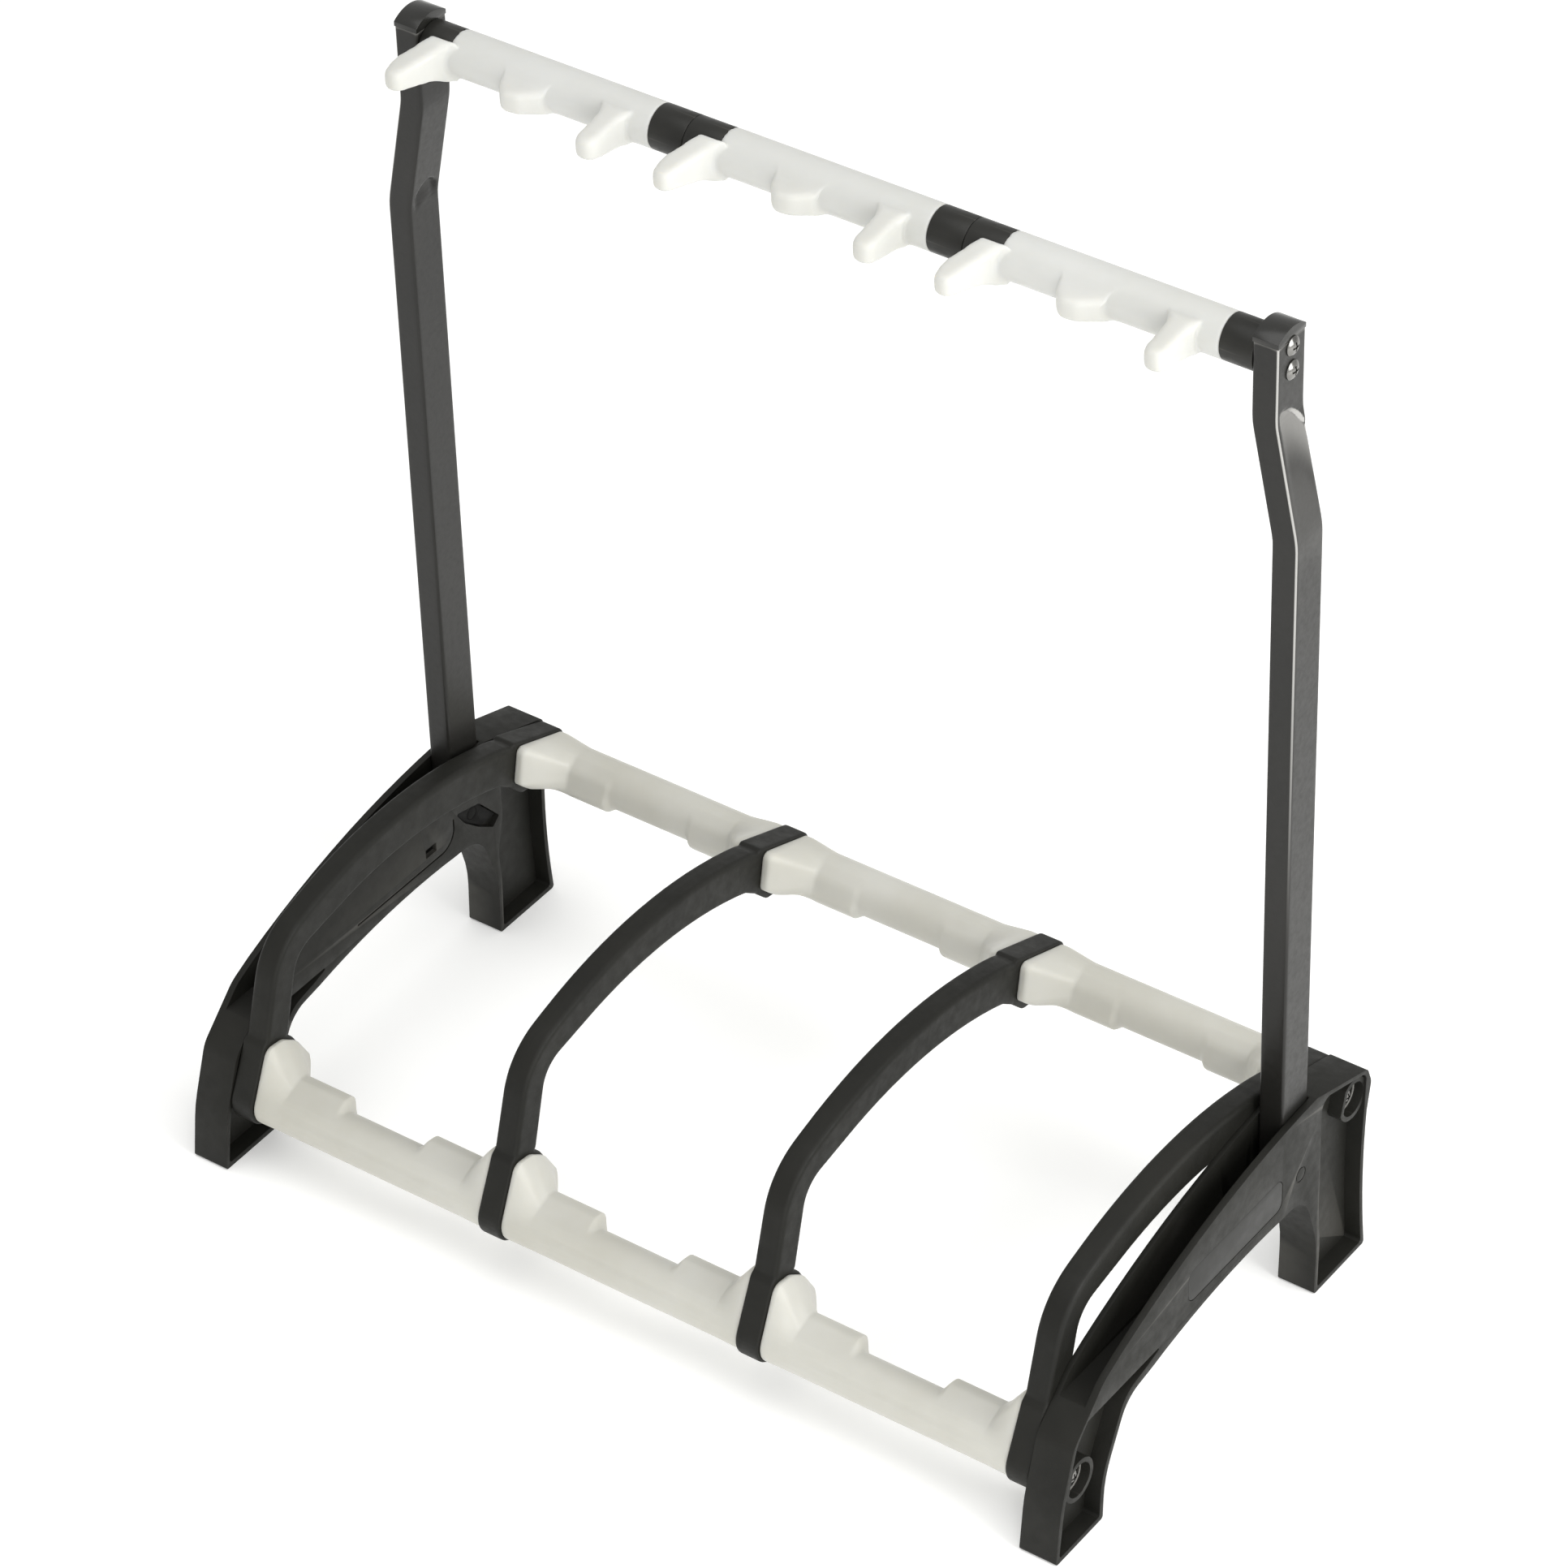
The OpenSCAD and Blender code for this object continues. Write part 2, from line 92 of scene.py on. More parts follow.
class Shader:
    """A Principled material, with helpers that add what the surface shows."""

    def __init__(self, name, colour, roughness, **sockets):
        self.material = bpy.data.materials.new(name)
        self.material.use_nodes = True
        self.nodes = self.material.node_tree.nodes
        self.links = self.material.node_tree.links
        self.bsdf = self.nodes["Principled BSDF"]
        self.coords = self.nodes.new("ShaderNodeTexCoord").outputs["Object"]
        self.bsdf.inputs["Base Color"].default_value = (*colour, 1)
        self.bsdf.inputs["Roughness"].default_value = roughness
        for socket, value in sockets.items():
            self.bsdf.inputs[socket.replace("_", " ")].default_value = value
        self.height = None

    def noise(self, scale, detail=4, rough=0.55):
        node = self.nodes.new("ShaderNodeTexNoise")
        node.inputs["Scale"].default_value = scale
        node.inputs["Detail"].default_value = detail
        node.inputs["Roughness"].default_value = rough
        self.links.new(self.coords, node.inputs["Vector"])
        return node.outputs["Fac"]

    def mottle(self, scale, low, high):
        """Slow changes of tone across the piece."""
        node = self.nodes.new("ShaderNodeValToRGB")
        self.links.new(self.noise(scale, 5), node.inputs["Fac"])
        for element, place, colour in zip(node.color_ramp.elements, (NOISE_LOW, NOISE_HIGH), (low, high)):
            element.position = place
            element.color = (*colour, 1)
        self.links.new(node.outputs["Color"], self.bsdf.inputs["Base Color"])

    def tint(self, mask, colour):
        """Lays a colour over what the piece shows so far, where the mask is 1."""
        mix = self.nodes.new("ShaderNodeMix")
        mix.data_type = "RGBA"
        self.links.new(mask, mix.inputs["Factor"])
        self.links.new(self.bsdf.inputs["Base Color"].links[0].from_socket, mix.inputs["A"])
        mix.inputs["B"].default_value = (*colour, 1)
        self.links.new(mix.outputs["Result"], self.bsdf.inputs["Base Color"])

    def spread(self, source, start, end, low=0.0, high=1.0, interpolation="LINEAR"):
        """Maps source between start and end to a value between low and high."""
        node = self.nodes.new("ShaderNodeMapRange")
        node.interpolation_type = interpolation
        node.inputs["From Min"].default_value = start
        node.inputs["From Max"].default_value = end
        node.inputs["To Min"].default_value = low
        node.inputs["To Max"].default_value = high
        self.links.new(source, node.inputs["Value"])
        return node.outputs["Result"]

    def ease(self, source, start, end):
        """0 at start, 1 at end, and smooth between."""
        return self.spread(source, start, end, interpolation="SMOOTHSTEP")

    def maths(self, operation, a, b=0.0, clamp=False):
        node = self.nodes.new("ShaderNodeMath")
        node.operation = operation
        node.use_clamp = clamp
        for socket, value in zip(node.inputs, (a, b)):
            if isinstance(value, (int, float)):
                socket.default_value = value
            else:
                self.links.new(value, socket)
        return node.outputs["Value"]

    def times(self, *factors, clamp=False):
        result = factors[0]
        for factor in factors[1:]:
            result = self.maths("MULTIPLY", result, factor, clamp)
        return result

    def split(self, vector):
        node = self.nodes.new("ShaderNodeSeparateXYZ")
        self.links.new(vector, node.inputs["Vector"])
        return node.outputs

    def geometry(self, output):
        return self.nodes.new("ShaderNodeNewGeometry").outputs[output]

    def edge_wear_and_highlight(self, colour, start, end):
        """Edges made lighter: rubbed wear on the plastics, a painted highlight on the powder coat."""
        self.tint(self.spread(self.geometry("Pointiness"), start, end), colour)

    def rough(self, scale, low, high):
        """Patches that shine a little more or less."""
        patches = self.spread(self.noise(scale, 6), NOISE_LOW, NOISE_HIGH, low, high)
        self.links.new(patches, self.bsdf.inputs["Roughness"])

    def bump(self, source, depth_mm, strength=1.0):
        node = self.nodes.new("ShaderNodeBump")
        node.inputs["Distance"].default_value = depth_mm * MM
        node.inputs["Strength"].default_value = strength
        self.links.new(source, node.inputs["Height"])
        if self.height is not None:
            self.links.new(self.height, node.inputs["Normal"])
        self.height = node.outputs["Normal"]
        self.links.new(self.height, self.bsdf.inputs["Normal"])


def grained_plastic():
    shader = Shader("grained_plastic", (0.011, 0.011, 0.009), 0.5, Specular_IOR_Level=0.2)
    shader.mottle(22, (0.0095, 0.0095, 0.0078), (0.014, 0.0137, 0.0112))
    shader.edge_wear_and_highlight((0.05, 0.048, 0.042), 0.54, 0.64)
    shader.rough(140, 0.44, 0.6)
    shader.bump(shader.noise(1500, 3, 0.6), 0.05)
    shader.bump(shader.noise(60, 3), 0.25, 0.4)
    return shader.material


def smooth_plastic():
    shader = Shader("smooth_plastic", (0.015, 0.015, 0.0125), 0.4, Specular_IOR_Level=0.3)
    shader.mottle(40, (0.0125, 0.0125, 0.0105), (0.018, 0.0175, 0.015))
    shader.edge_wear_and_highlight((0.05, 0.048, 0.042), 0.55, 0.65)
    shader.rough(220, 0.33, 0.47)
    shader.bump(shader.noise(2200, 2, 0.5), 0.02)
    return shader.material


def powder_coat(name):
    """The paint on the steel, as a shader that can still be added to."""
    shader = Shader(name, (0.012, 0.0117, 0.0103), 0.36, Specular_IOR_Level=0.32)
    shader.mottle(16, (0.0105, 0.0102, 0.009), (0.0155, 0.0148, 0.013))
    # Painted highlight: the sharp edges made light grey, standing in for the light line along the tube
    # corners
    shader.edge_wear_and_highlight((0.22, 0.215, 0.2), 0.53, 0.6)
    shader.rough(300, 0.3, 0.44)
    shader.bump(shader.noise(900, 2, 0.5), 0.03)
    return shader


def upright_coat_with_highlights():
    """The powder coat with painted highlights: a painted highlight in the hollow under the upper bend, a
    faint one at the lower bend, and a painted highlight line along the front corner of the outer face."""
    shader = powder_coat("upright_coat_with_highlights")
    place = shader.split(shader.coords)
    facing = shader.split(shader.geometry("Normal"))
    outward = shader.times(shader.maths("SIGN", place["X"]), facing["X"], clamp=True)
    forward = shader.times(facing["Y"], -1.0)

    # Millimetres across the face from where the lip is centred, and millimetres below the lip
    across = shader.times(shader.maths("SUBTRACT", place["Y"], (NECK.x + UPPER_LIP_AT) * MM), 1 / MM)
    bend = shader.times(across, across, UPPER_LIP_BEND)
    drop = shader.maths("ADD", bend, shader.times(across, UPPER_LIP_TILT))
    lip = shader.maths("SUBTRACT", UPPER_LIP, drop)
    below = shader.maths("SUBTRACT", lip, shader.times(place["Z"], 1 / MM))

    # Painted highlight: the hollow under the upper bend made bright, and faintly further down, on the outer
    # faces only
    upper = shader.times(shader.ease(below, 1, 5), shader.ease(below, 36, 5), shader.ease(across, -7.5, -3.5))
    lower = shader.times(shader.ease(below, 98, 66), shader.ease(below, 20, 50), 0.15)
    hollow_highlight = shader.maths("ADD", upper, lower, clamp=True)
    shader.tint(shader.times(hollow_highlight, shader.ease(outward, 0.7, 0.93)), (0.17, 0.167, 0.158))

    # Painted highlight: a light line along the front corner of the outer face, fading in above a quarter
    # metre up
    corner = shader.times(shader.ease(outward, 0.25, 0.55), shader.ease(outward, 0.97, 0.85),
                          shader.ease(forward, 0.2, 0.5), shader.ease(place["Z"], 0.25, 0.5))
    shader.tint(corner, (0.36, 0.355, 0.34))
    return shader.material


def pad_rubber(name, low, high):
    shader = Shader(name, high, 0.42, Subsurface_Weight=0.35, Subsurface_Scale=0.012, Specular_IOR_Level=0.4)
    shader.bsdf.inputs["Subsurface Radius"].default_value = (1.0, 0.92, 0.75)
    shader.mottle(11, low, high)
    shader.rough(90, 0.36, 0.52)
    shader.bump(shader.noise(700, 3, 0.5), 0.02)
    shader.bump(shader.noise(35, 2), 0.3, 0.35)
    return shader.material


def zinc_plate():
    shader = Shader("zinc_plate", (0.2, 0.197, 0.187), 0.2, Metallic=1.0)
    shader.mottle(120, (0.15, 0.147, 0.14), (0.25, 0.246, 0.235))
    shader.rough(400, 0.14, 0.28)
    shader.bump(shader.noise(1800, 2), 0.01)
    return shader.material


# Near black, a painted shade: the pivot block and pin sit in the frame's opening and stand in for the shade
# of a deep hole
def shade_dark_matt():
    shader = Shader("shade_dark_matt", (0.003, 0.003, 0.0027), 0.65, Specular_IOR_Level=0.08)
    shader.mottle(60, (0.0025, 0.0025, 0.0022), (0.004, 0.0039, 0.0035))
    shader.rough(200, 0.52, 0.7)
    shader.bump(shader.noise(1400, 2), 0.02)
    return shader.material


def glossy_plastic():
    shader = Shader("glossy_plastic", (0.012, 0.012, 0.0105), 0.24, Specular_IOR_Level=0.5)
    shader.mottle(40, (0.0105, 0.0105, 0.009), (0.015, 0.0147, 0.0128))
    shader.edge_wear_and_highlight((0.04, 0.038, 0.034), 0.55, 0.66)
    shader.rough(200, 0.18, 0.3)
    shader.bump(shader.noise(1600, 2), 0.012)
    return shader.material


def blank_label():
    shader = Shader("blank_label", (0.012, 0.012, 0.0105), 0.46, Specular_IOR_Level=0.3)
    shader.mottle(60, (0.011, 0.011, 0.0095), (0.014, 0.0137, 0.012))
    shader.rough(120, 0.42, 0.52)
    shader.bump(shader.noise(1200, 2), 0.01)
    return shader.material


# The material of each slot
MATERIALS = {
    "frame_plastic": grained_plastic(),
    "sleeve_plastic": smooth_plastic(),
    "painted_steel": powder_coat("powder_coat").material,
    "pad_rubber": pad_rubber("base_rubber", (0.47, 0.46, 0.405), (0.555, 0.55, 0.508)),
    "zinc_screw": zinc_plate(),
    "label": blank_label(),
}
# Pieces that look different from the rest of their slot
NECK_RUBBER = pad_rubber("neck_rubber", (0.55, 0.55, 0.515), (0.615, 0.615, 0.59))
# Painted shade: the pivot block and pin are made near black so that the opening round them reads as a deep,
# shaded hole
SHADE_DARK_MATT = shade_dark_matt()
OWN_MATERIALS = {"pivot_block": SHADE_DARK_MATT, "pivot_pin": SHADE_DARK_MATT, "upright_cap": glossy_plastic()}
# The powder coat of the uprights, with painted highlights in the hollows and along the front corners
UPRIGHT_COAT_WITH_HIGHLIGHTS = upright_coat_with_highlights()
SLOTS = {part["node"]: part["material_slot"] for part in frame["record"]["subparts"]}
BODIES = {node: body for body, nodes in frame["record"]["behaviour"]["bodies"].items() for node in nodes}


# ---- Mesh helpers --------------------------------------------------------------------------------------

# Edges that turn by more than this are rounded, in this many steps
BEVEL_FROM_DEGREES = 32
BEVEL_STEPS = 3
# Points of a CAD mesh closer than this are one point, and faces that turn by less than this are one face
MERGE_MM = 0.004
FLAT_DEGREES = 0.6


def new_piece(name, mesh):
    piece = bpy.data.objects.new(name, mesh)
    bpy.context.scene.collection.objects.link(piece)
    return piece


def mesh_from(bm, name):
    """A mesh in metres from a bmesh in millimetres."""
    bmesh.ops.recalc_face_normals(bm, faces=bm.faces)
    bmesh.ops.scale(bm, vec=(MM, MM, MM), verts=bm.verts)
    mesh = bpy.data.meshes.new(name)
    bm.to_mesh(mesh)
    bm.free()
    return mesh


def bake(piece):
    """Applies the piece's modifiers to its mesh."""
    depsgraph = bpy.context.evaluated_depsgraph_get()
    mesh = bpy.data.meshes.new_from_object(piece.evaluated_get(depsgraph))
    piece.modifiers.clear()
    piece.data = mesh
    return piece


def smooth_shade(piece, sharp_degrees=40):
    mesh = piece.data
    mesh.polygons.foreach_set("use_smooth", [True] * len(mesh.polygons))
    mesh.set_sharp_from_angle(angle=math.radians(sharp_degrees))
    mesh.update()


def bevel(piece, width_mm):
    modifier = piece.modifiers.new("edges", "BEVEL")
    modifier.width = width_mm * MM
    modifier.segments = BEVEL_STEPS
    modifier.limit_method = "ANGLE"
    modifier.angle_limit = math.radians(BEVEL_FROM_DEGREES)
    modifier.use_clamp_overlap = True
    return bake(piece)


def relax(piece, rounds, group=""):
    """Evens the surface out, in one vertex group or everywhere."""
    modifier = piece.modifiers.new("relax", "SMOOTH")
    modifier.factor = 0.5
    modifier.iterations = rounds
    modifier.vertex_group = group


def remesh(piece, voxel_mm):
    modifier = piece.modifiers.new("skin", "REMESH")
    modifier.mode = "VOXEL"
    modifier.voxel_size = voxel_mm * MM


def cad_copy(node, name):
    """A copy of a CAD node's mesh with its triangles merged back into flat faces."""
    bm = bmesh.new()
    bm.from_mesh(frame["nodes"][node].data)
    bmesh.ops.remove_doubles(bm, verts=bm.verts, dist=MERGE_MM * MM)
    bmesh.ops.dissolve_limit(bm, angle_limit=math.radians(FLAT_DEGREES), verts=bm.verts, edges=bm.edges)
    mesh = bpy.data.meshes.new(name)
    bm.to_mesh(mesh)
    bm.free()
    if "custom_normal" in mesh.attributes:
        mesh.attributes.remove(mesh.attributes["custom_normal"])
    return new_piece(name, mesh)


def stand_for(piece, node, material=None):
    """Gives a piece the CAD node's body and the material of the node's slot, or the material given, and hides
    the node that it replaces.
    """
    piece.data.materials.clear()
    piece.data.materials.append(material or MATERIALS[SLOTS[node]])
    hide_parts(node)
    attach(piece, BODIES[node])


def copy_at(mesh, name, shift_x_mm):
    copy = mesh.copy()
    copy.transform(Matrix.Translation((shift_x_mm * MM, 0, 0)))
    return new_piece(name, copy)


# ---- Outlines in the side view: corners (y, z, radius), in millimetres ---------------------------------

ARC_STEP_DEGREES = 6
# Turns of the points on a section's quarter-round corner
QUARTER_DEGREES = [18 * i for i in range(6)]


def corner_points(before, at, after):
    here = Vector(at[:2])
    if len(at) < 3 or at[2] <= 0:
        return [here]
    radius = at[2]
    back = (Vector(before[:2]) - here).normalized()
    ahead = (Vector(after[:2]) - here).normalized()
    half = math.acos(max(-1, min(1, back.dot(ahead)))) / 2
    centre = here + (back + ahead).normalized() * radius / math.sin(half)
    start = here + back * radius / math.tan(half) - centre
    first = math.atan2(start.y, start.x)
    turn = back.x * ahead.y - back.y * ahead.x
    swing = -math.copysign(math.pi - 2 * half, turn)
    steps = max(1, math.ceil(math.degrees(abs(swing)) / ARC_STEP_DEGREES))
    angles = [first + swing * i / steps for i in range(steps + 1)]
    return [centre + radius * Vector((math.cos(a), math.sin(a))) for a in angles]


def outline(corners, closed=True):
    points = []
    for i, at in enumerate(corners):
        inner = closed or 0 < i < len(corners) - 1
        after = corners[(i + 1) % len(corners)]
        points += corner_points(corners[i - 1], at, after) if inner else [Vector(at[:2])]
    return points


def arc(centre, radius, start, end, steps):
    angles = [math.radians(start + (end - start) * i / steps) for i in range(steps + 1)]
    return [(centre[0] + radius * math.cos(a), centre[1] + radius * math.sin(a)) for a in angles]


def resample(points, count):
    """Points evenly spaced along an open line."""
    lengths = [0]
    for a, b in zip(points, points[1:]):
        lengths.append(lengths[-1] + (b - a).length)
    result = []
    at = 0
    for i in range(count):
        target = lengths[-1] * i / (count - 1)
        while at < len(points) - 2 and lengths[at + 1] < target:
            at += 1
        span = lengths[at + 1] - lengths[at]
        result.append(points[at].lerp(points[at + 1], (target - lengths[at]) / span))
    return result


def share(low, high, value):
    """How far the value is on its way from low to high, held between 0 and 1."""
    return max(0.0, min(1.0, (value - low) / (high - low)))


def smoothstep(low, high, value):
    t = share(low, high, value)
    return t * t * (3 - 2 * t)


def ramp(low, high, value):
    """A straight slope with its two ends just rounded off."""
    return 0.75 * share(low, high, value) + 0.25 * smoothstep(low, high, value)


def skin(bm, rows):
    """Quads between rows of points of equal length, each row a closed ring, with both ends closed."""
    rows = [[bm.verts.new(p) for p in row] for row in rows]
    for a, b in zip(rows, rows[1:]):
        for i in range(len(a)):
            j = (i + 1) % len(a)
            bm.faces.new((a[i], a[j], b[j], b[i]))
    for row in (rows[0], rows[-1]):
        bm.faces.new(row)


# ---- Base pads: a loft of three side-view outlines about the bar ---------------------------------------

ROUND_R = 13.4
FRONT_HORN = arc(FRONT_BAR, 13.6, -50, -205, 14) + [
    (-127, 78.6, 6), (-114.2, 76.8, 6), (-103.9, 69.2, 8), (-94.2, 52.3, 5), (-97, 43.5, 6), (-112, 36, 8)]
FRONT_STEP = arc(FRONT_BAR, ROUND_R, -70, -245, 14) + [(-120.5, 59.6, 5), (-111.5, 58.2, 5), (-112.5, 44, 8)]
BACK_HORN = [(110.5, 107.6, 6), (101.5, 116, 4), (106.2, 139, 4), (148.8, 124, 7)] + arc(
    BACK_BAR, ROUND_R, 0, -100, 10)
BACK_STEP = arc(BACK_BAR, ROUND_R, 110, -80, 14) + [(126, 99.0, 7), (119.4, 107, 8), (124.5, 121, 9)]
# A soft groove along the pad: where it is round the bar, in degrees, its depth and its half width in degrees
PAD_GROOVE = (152, 0.45, 7)
NO_GROOVE = (0, 0, 1)
# The groove fades out between these shares of the way to the pad's end
GROOVE_FADE = (0.55, 0.8)
# Each end is rounded off over this length, by this depth
LIP_LENGTH, LIP_DEPTH = 1.2, 1
# Points round the pad, rings along half of it, rings in each change of outline, and rings close to the end
PAD_SIDES = 168
PAD_RINGS = 26
CHANGE_RINGS = 14
END_RINGS = (0, 0.25, 0.7, 1.5)


def reach(points, centre, angle):
    """Distance from the centre to a closed outline along one direction."""
    ray = Vector((math.cos(angle), math.sin(angle)))
    side = Vector((-ray.y, ray.x))
    best = 0
    for i, b in enumerate(points):
        a = points[i - 1] - centre
        b = b - centre
        da, db = a.dot(side), b.dot(side)
        if (da > 0) != (db > 0):
            hit = a.lerp(b, da / (da - db))
            best = max(best, hit.dot(ray))
    return best


def ring_places(changes):
    """Where along the pad its rings stand, from one end to the other."""
    marks = {PAD_HALF - inset for inset in END_RINGS}
    marks |= {PAD_HALF * i / PAD_RINGS for i in range(PAD_RINGS)}
    for low, high in changes:
        marks |= {low + (high - low) * i / CHANGE_RINGS for i in range(CHANGE_RINGS + 1)}
    return sorted(marks | {-m for m in marks})


def base_pad_mesh(name, bar, step, horn, step_at, horn_at, groove):
    """step_at and horn_at say over which stretch from the middle the outline changes."""
    groove_at, groove_depth, groove_half = groove
    angles = [2 * math.pi * i / PAD_SIDES for i in range(PAD_SIDES)]
    step_r = [reach(outline(step), bar, a) for a in angles]
    horn_r = [reach(outline(horn), bar, a) for a in angles]
    dip = [groove_depth * math.exp(-((math.degrees(a) - groove_at) / groove_half) ** 2) for a in angles]
    rings = []
    for x in ring_places((step_at, horn_at)):
        to_step = smoothstep(*step_at, abs(x))
        to_horn = ramp(*horn_at, abs(x))
        dip_here = 1 - smoothstep(GROOVE_FADE[0] * PAD_HALF, GROOVE_FADE[1] * PAD_HALF, abs(x))
        lip = max(0.0, abs(x) - (PAD_HALF - LIP_LENGTH)) / LIP_LENGTH
        pull = LIP_DEPTH * (1 - math.sqrt(max(0.0, 1 - lip * lip)))
        ring = []
        for a, s, h, g in zip(angles, step_r, horn_r, dip):
            r = ROUND_R + (s - ROUND_R) * to_step
            r += (h - r) * to_horn - g * dip_here - pull
            ring.append((x, bar.x + r * math.cos(a), bar.y + r * math.sin(a)))
        rings.append(ring)
    bm = bmesh.new()
    skin(bm, rings)
    return mesh_from(bm, name)


def make_base_pads():
    front = base_pad_mesh("front_pad", FRONT_BAR, FRONT_STEP, FRONT_HORN, (25, 30), (61.5, 76), PAD_GROOVE)
    back = base_pad_mesh("back_pad", BACK_BAR, BACK_STEP, BACK_HORN, (26, 31), (56, 74), NO_GROOVE)
    for row, mesh in (("front", front), ("back", back)):
        for name, bay in BAYS.items():
            piece = copy_at(mesh, f"{row}_pad_{name}_rubber", bay * PITCH)
            smooth_shade(piece, 50)
            stand_for(piece, f"{row}_pad_{name}")


# ---- Hoops: a round-backed arch with a collar at each end ----------------------------------------------

ARCH_CENTRE = (5.4, -140.4)
ARCH_INNER_CENTRE = (-2.7, -140.4)
ARCH_OUTER = [(-127.2, 76), (-108.6, 137.2, 43)] + arc(ARCH_CENTRE, 298.3, 106, 72, 16) + [(106, 139.6)]
ARCH_INNER = [(-106.8, 76), (-93.9, 123.9, 20)] + arc(ARCH_INNER_CENTRE, 276.6, 101.7, 70.5, 14) + [
    (99, 113.5)]
FRONT_COLLAR = arc(FRONT_BAR, 15.2, -50, -205, 14) + [
    (-128.2, 79.3, 4), (-122.4, 83.4, 3), (-112.6, 79.6, 5), (-103.4, 70.3, 8), (-93.3, 52.3, 5),
    (-96.4, 42.6, 6), (-112, 35, 8)]
BACK_COLLAR = [(109, 103.4, 6), (99.5, 113, 4), (103.2, 142.2, 2.5), (149.8, 124.6, 6)] + arc(
    BACK_BAR, ROUND_R, 0, -100, 10)
ARCH_DEPTH = 21.7
CROWN_CORNER, FOOT_CORNER = 3.0, 1.2
# How far the middle of the outer face stands over its corners
CROWN_RISE = 0.15
ARCH_STATIONS = 90
COLLAR_EDGE = 1.0
HOOP_VOXEL = 0.75
HOOP_RELAX = 3


def arch_section():
    """Half of the section: share of the way from the inner to the outer edge, and half width."""
    turns = [math.radians(degrees) for degrees in QUARTER_DEGREES]
    foot = [(FOOT_CORNER * (1 - math.cos(t)), HOOP_HALF - FOOT_CORNER * (1 - math.sin(t))) for t in turns]
    crown = [(ARCH_DEPTH - CROWN_CORNER * (1 - math.sin(t)), HOOP_HALF - CROWN_CORNER * (1 - math.cos(t)))
             for t in turns]
    crown[-1] = (ARCH_DEPTH - CROWN_RISE, crown[-1][1])
    return [(depth / ARCH_DEPTH, half) for depth, half in foot + crown]


def arch_rings():
    outer = resample(outline(ARCH_OUTER, False), ARCH_STATIONS)
    inner = resample(outline(ARCH_INNER, False), ARCH_STATIONS)
    section = arch_section()
    rings = []
    for far, near in zip(outer, inner):
        one_side = [(near.lerp(far, part), half) for part, half in section]
        ring = [(-w, p.x, p.y) for p, w in one_side] + [(0, far.x, far.y)]
        ring += [(w, p.x, p.y) for p, w in reversed(one_side)]
        rings.append(ring)
    return rings


def hoop_mesh():
    bm = bmesh.new()
    skin(bm, arch_rings())
    arch = new_piece("hoop_arch", mesh_from(bm, "hoop_arch"))
    bm = bmesh.new()
    for collar in (FRONT_COLLAR, BACK_COLLAR):
        skin(bm, [[(x, p.x, p.y) for p in outline(collar)] for x in (-HOOP_HALF, HOOP_HALF)])
    collars = bevel(new_piece("hoop_collars", mesh_from(bm, "hoop_collars")), COLLAR_EDGE)
    bm = bmesh.new()
    bm.from_mesh(arch.data)
    bm.from_mesh(collars.data)
    bm.to_mesh(arch.data)
    bm.free()
    remesh(arch, HOOP_VOXEL)
    relax(arch, HOOP_RELAX)
    mesh = bake(arch).data
    bpy.data.objects.remove(arch)
    bpy.data.objects.remove(collars)
    return mesh


def make_hoops():
    mesh = hoop_mesh()
    for name in ("end_left", "mid_left", "mid_right", "end_right"):
        piece = copy_at(mesh, f"hoop_{name}_moulding", centre_mm(f"hoop_{name}").x)
        smooth_shade(piece, 60)
        stand_for(piece, f"hoop_{name}")


# ---- Neck pads: the CAD outline swollen and softened like moulded rubber --------------------------------

NECK_VOXEL = 0.85
# The prongs and the hump stand out of a round of this radius, and are fully soft past the second one
NECK_PAD_R, SOFT_FROM_R = 12.9, 15.5
# Along the bar from the pad's middle: the curved prong is before the first place, the hump before the second
CURVED_PRONG_TO, HUMP_TO = -56, 12
# The curved prong deepens by this share between these two places in front of the bar
ROOT_DEEPER, ROOT_FROM, ROOT_TO = 0.28, -21, -10
# The hump's underside in the CAD and here, how much of its height is left, and the round that its top follows
HUMP_UNDER, HUMP_UNDER_NOW, HUMP_HEIGHT_LEFT, HUMP_TOP_R, HUMP_TOP_RISE = -9.6, -9.4, 0.7, 12.7, 0.3
NECK_RELAX = 46
NECK_SWELL = 1.0
# How much of the softening the round part of the pad gets
ROUND_SOFTENED = 0.1


def prong_height(x, forward, up):
    """Height over the bar's axis of a point on the curved prong or on the hump."""
    if x < CURVED_PRONG_TO:
        return up * (1 + ROOT_DEEPER * smoothstep(ROOT_FROM, ROOT_TO, forward))
    lowered = (up - HUMP_UNDER) * HUMP_HEIGHT_LEFT + HUMP_UNDER_NOW
    if up <= 0:
        return lowered
    round_top = math.sqrt(max(0.0, HUMP_TOP_R ** 2 - forward ** 2)) + HUMP_TOP_RISE
    return max(lowered, min(up, round_top))


